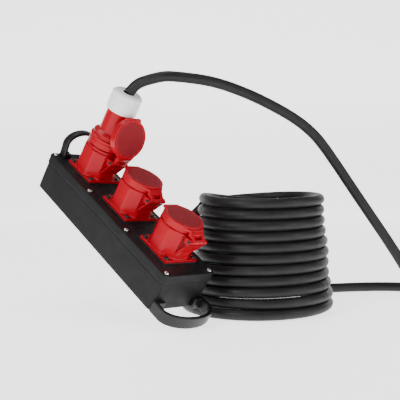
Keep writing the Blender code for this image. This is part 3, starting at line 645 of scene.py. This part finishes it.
def spring_mesh():
    """Wire wound round the hinge pin."""
    turns, radius = 4, 2.7
    points = []
    for angle in np.linspace(0, 2 * math.pi * turns, turns * 24 + 1):
        along = (angle / (2 * math.pi * turns) - 0.5) * 12.0
        points.append(Vector((radius * math.cos(angle), along, radius * math.sin(angle))))
    return done("lid_spring", add_tube(bmesh.new(), points, 0.55, 10), DARK_STEEL)


# ---------------------------------------------------------------- sockets

CONTACT_ANGLES = (105, 180, 255, 330, 30)


def octagon(angle, radius, height):
    """Rounded octagon from the tower's size up, a circle below it."""
    if radius < 32.0:
        return radius
    turn = (angle + math.pi / 8) % (math.pi / 4) - math.pi / 8
    flat, capped = radius / math.cos(turn), radius * 1.068
    return (flat**-60 + capped**-60) ** (-1 / 60)


def socket_mesh():
    flange = done("flange", add_prism(bmesh.new(), box_outline(70, 70, 5), 1.8, 6.0, 0.9), RED)
    bm = add_mesh(bmesh.new(), cut(flange, rod_mesh(WELL_RADIUS, -5, 20)))
    bmesh.ops.scale(bm, vec=(1 / MM,) * 3, verts=bm.verts)
    profile = soften([
        (33.6, 5.5), (33.0, 8.0), (33.0, 50.0), (32.2, 51.6), (31.0, 51.8), (31.0, 56.0),
        (28.0, 56.0), (28.0, -8.0),
        (28.6, -8.0), (28.6, 5.0),
    ], 0.9, 3)
    add_lathe(bm, profile, 144, octagon, closed=True)
    gusset = soften([(26, 12), (29.5, 15), (45.0, 41.4), (36.2, 41.8), (36.2, 50.4), (26, 50.4)], 0.8, 3,
                    closed=True)
    add_prism(bm, gusset, -EAR_OUT, EAR_OUT, 0.8, UPRIGHT)
    x, z, eye = HINGE_X, HINGE_Z, EYE_RADIUS
    ear = soften([
        (27, 16), (30, 17), (x + 0.3 * eye, z - eye), (x + eye, z - 0.3 * eye), (x + eye, z + 0.3 * eye),
        (x, z + eye), (34, 50.5), (27, 50.5),
    ], 2.0, 4, closed=True)
    for low, high in ((-EAR_OUT, -EAR_IN), (EAR_IN, EAR_OUT)):
        add_prism(bm, ear, low, high, 0.7, UPRIGHT)
    return done("socket", bm, RED)


def gasket_mesh():
    pad = prism_mesh("socket_gasket", box_outline(70, 70, 5), GAP, 1.5, 0.2)
    made = cut(pad, rod_mesh(29.5, -5, 5))
    made.materials[0] = RUBBER
    return made


def insert_mesh():
    """The contact carrier, with a brass tube sunk in each of its five holes."""
    profile = soften([
        (0, 46), (21.8, 46), (21.8, -6), (27.7, -6), (27.7, -12), (20, -12), (20, -34), (0, -34),
    ], 0.8, 3)
    carrier = done("contact_carrier", add_lathe(bmesh.new(), profile, 96), INSERT)
    places = [(12.5 * math.cos(math.radians(a)), 12.5 * math.sin(math.radians(a))) for a in CONTACT_ANGLES]
    radii = (4.0, 3.2, 3.2, 3.2, 3.2)
    holes = [rod_mesh(r, 14, 60, x, y, 32) for r, (x, y) in zip(radii, places)]
    bm = add_mesh(bmesh.new(), cut(carrier, *holes))
    bmesh.ops.scale(bm, vec=(1 / MM,) * 3, verts=bm.verts)
    for r, (x, y) in zip(radii, places):
        tube = [(r - 0.1, 15), (r - 0.1, 41), (r - 0.8, 41), (r - 0.8, 15)]
        add_lathe(bm, tube, 32, closed=True, at=shift(x, y, 0), slot=1)
    return done("contact_carrier", bm, INSERT, BRASS)


def lid_mesh():
    """The lid about its hinge axis: a skirted disc with a matt top, a thumb tab and two knuckles."""
    centre = shift(-HINGE_X, 0, 0)
    bm = bmesh.new()
    disc = soften([
        (0, 16.5), (28.0, 16.5), (28.6, 16.15), (29.2, 16.5), (33.0, 16.5), (33.0, 5.0),
        (31.6, 5.0), (31.6, 10.6),
        (0, 10.6),
    ], 1.1, 4)
    add_lathe(bm, disc, 128, at=centre)
    for face in bm.faces:
        middle = face.calc_center_median()
        if middle.z > 16.4 and math.hypot(middle.x + HINGE_X, middle.y) < 28.0:
            face.material_index = 1
    add_prism(bm, box_outline(20, 34, 5.0, -70.5), 11.0, 15.5, 1.9)
    eye, width = EYE_RADIUS, EAR_IN - GAP
    knuckle = soften([
        (-16, 15.2), (-10, 14), (0.3 * eye, eye), (eye, 0.3 * eye), (eye, -0.3 * eye), (0.3 * eye, -eye),
        (-0.3 * eye, -eye), (-eye, -0.3 * eye), (-eye, 0.5 * eye), (-12.2, 5), (-12.2, 11.6), (-16, 11.6),
    ], 1.4, 4, closed=True)
    for low, high in ((-width, -7.5), (7.5, width)):
        add_prism(bm, knuckle, low, high, 0.6, UPRIGHT)
    apron = soften([
        (-16, 15.2), (-10, 14), (-5, 9.4), (-5, 2.5), (-12.2, 5), (-12.2, 11.6), (-16, 11.6),
    ], 1.0, 3, closed=True)
    add_prism(bm, apron, -7.6, 7.6, 0.2, UPRIGHT)
    barrel = [(4.2 * math.cos(a), 4.2 * math.sin(a)) for a in np.linspace(2.5, -1.3, 25)]
    barrel += [(3.5 * math.cos(a), 3.5 * math.sin(a)) for a in np.linspace(-1.3, 2.5, 25)]
    add_prism(bm, barrel, -7.6, 7.6, 0, UPRIGHT)
    flare = soften([(-9.5, -width), (-9.5, width), (-21, 23), (-21, -23)], 2.0, 3, closed=True)
    add_prism(bm, flare, 10.8, 14.4, 0.8)
    return done("lid", bm, RED, RED_MATT)


def lid_seal_mesh():
    low = 8.3
    ring = soften([(31.0, low + 2.0), (31.0, low), (25.0, low), (25.0, low + 2.0)], 0.6, 3, closed=True)
    return done("lid_seal", add_lathe(bmesh.new(), ring, 96, closed=True, at=shift(-HINGE_X, 0, 0)), RUBBER)


def make_sockets():
    socket, gasket, carrier = socket_mesh(), gasket_mesh(), insert_mesh()
    lid, seal = lid_mesh(), lid_seal_mesh()
    pin, spring = pin_mesh(), spring_mesh()
    for number, x in enumerate(SOCKET_X, start=1):
        seat = shift_mm(x, 0, CASE_HEIGHT)
        hinge = shift_mm(x + HINGE_X, 0, CASE_HEIGHT + HINGE_Z)
        swing = Matrix.Rotation(math.radians(LID_OPEN_AT_REST if number == 1 else 0.0), 4, "Y")
        show(f"socket_{number}", socket, "case", [f"socket_body_{number}"], seat)
        show(f"flange_pad_{number}", gasket, "case", [f"socket_gasket_{number}"], seat)
        show(f"carrier_{number}", carrier, "case", [f"contact_insert_{number}"], seat)
        show(f"cap_{number}", lid, f"lid_{number}", [f"lid_{number}"], hinge @ swing)
        show(f"cap_seal_{number}", seal, f"lid_{number}", [f"lid_seal_{number}"],
             hinge @ swing)
        show(f"pin_{number}", pin, "case", [f"hinge_pin_{number}"], hinge, weighted=False)
        show(f"spring_{number}", spring, "case", [f"lid_spring_{number}"], hinge,
             weighted=False)


# ---------------------------------------------------------------- plug and gland

def ribs(angle, radius, height):
    """Castellations round the top of the plug's nut."""
    if radius > 23.0 and 146.0 < height < 154.0:
        return radius - (0.9 if math.cos(22 * angle) < 0 else 0.0)
    return radius


def make_plug():
    seat = shift_mm(SOCKET_X[0], 0, CASE_HEIGHT)
    shell = soften([
        (22.3, 123.5), (22.3, 84.5), (29.5, 80.0), (29.5, 77.4), (28.8, 77.0), (28.8, 76.4), (29.5, 76.0),
        (29.5, 74.0), (32.5, 73.0), (32.5, 69.0), (31.8, 68.6), (31.8, 67.8), (32.5, 67.4), (32.5, 58.5),
        (27.2, 58.5), (27.2, 24.0), (22.6, 24.0), (22.6, 60.0), (19.0, 60.0), (19.0, 123.5),
    ], 0.7, 3, closed=True)
    mesh = done("plug_grip", add_lathe(bmesh.new(), shell, 128, closed=True), RED)
    grip = show("plug_grip", mesh, "plug", ["plug_shell"], seat)
    nut = soften([
        (9.6, 157.0), (21.5, 157.0), (23.5, 155.5), (25.8, 153.8), (25.8, 146.2), (26.0, 145.6),
        (25.3, 145.0),
        (25.3, 144.2), (26.0, 143.6), (26.0, 125.0), (25.6, 123.8), (18.6, 123.8), (18.6, 107.6),
        (11.0, 107.6),
        (9.6, 149.0),
    ], 0.6, 3, closed=True)
    bm = add_lathe(bmesh.new(), nut, 176, ribs, closed=True)
    add_lathe(bm, [(9.55, 155.8), (8.7, 155.2), (8.7, 150.0), (9.55, 150.0)], 48, closed=True, slot=1)
    cap = show("plug_cap", done("plug_cap", bm, NUT, RUBBER), "plug", ["plug_nut"], seat)
    return [grip, cap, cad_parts["plug_front"]]


def fluted(angle, radius, height):
    """A hexagon at the gland body's flats, and grips round its nut."""
    if radius > 17.4 and height < 60.5:
        turn = (angle + math.pi / 6) % (math.pi / 3) - math.pi / 6
        return min(15.6 / math.cos(turn), 17.7)
    if radius > 17.0:
        return radius - 0.5 * (1 + math.cos(18 * angle)) / 2
    return radius


def make_gland():
    at = Matrix.Translation(Vector((GLAND_X, 0, GLAND_Z)) * MM) @ Matrix.Rotation(-math.pi / 2, 4, "X")
    body = soften([
        (15, 67), (15, 61), (17.8, 60), (17.8, 53.3), (12.5, 53.3), (12.5, 41), (9.0, 41), (9.0, 67),
    ], 0.5, 3, closed=True)
    nut = soften([
        (13, 80), (17.4, 75.5), (17.4, 61.5), (15.3, 61.5), (15.3, 67.5), (11.5, 71), (11.5, 80),
    ], 0.7, 3, closed=True)
    outside = [(10.8, BOOT_END), (10.9, 112)]
    for step in range(6):
        height = 110 - 5.0 * step
        wide = 10.85 + 0.04 * step
        outside += [
            (wide, height), (wide - 0.6, height - 0.8), (wide - 0.6, height - 2.2), (wide, height - 3.0),
        ]
    boot = soften(outside + [(11.1, 74), (11.1, 69.2), (9.0, 69.2), (9.0, BOOT_END)], 0.5, 2, closed=True)
    for name, profile, used, slot, node, shape in (
        ("gland_hex", body, BLACK, "case_plastic", "gland_body", fluted),
        ("gland_cap", nut, BLACK, "case_plastic", "gland_nut", fluted),
        ("strain_relief", boot, RUBBER, "seal_rubber", "gland_boot", None),
    ):
        mesh = done(name, add_lathe(bmesh.new(), profile, 108, shape, closed=True), used)
        show(name, mesh, "case", [node], at)


def finish_kept_nodes():
    """The hidden CAD pieces keep their shapes and take a finish."""
    kept = {"cover_gasket": RUBBER, "terminal_block": GREY, "plug_front": INSERT}
    kept.update({f"{kind}_screw_{n}": ZINC for kind in ("carry_loop", "pull_handle") for n in (1, 2)})
    for name, used in kept.items():
        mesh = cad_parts[name].data
        mesh.materials.clear()
        mesh.materials.append(used)


camera()
studio()
make_case()
make_handles()
make_screws()
make_sockets()
make_gland()
finish_kept_nodes()
make_lead(make_plug())
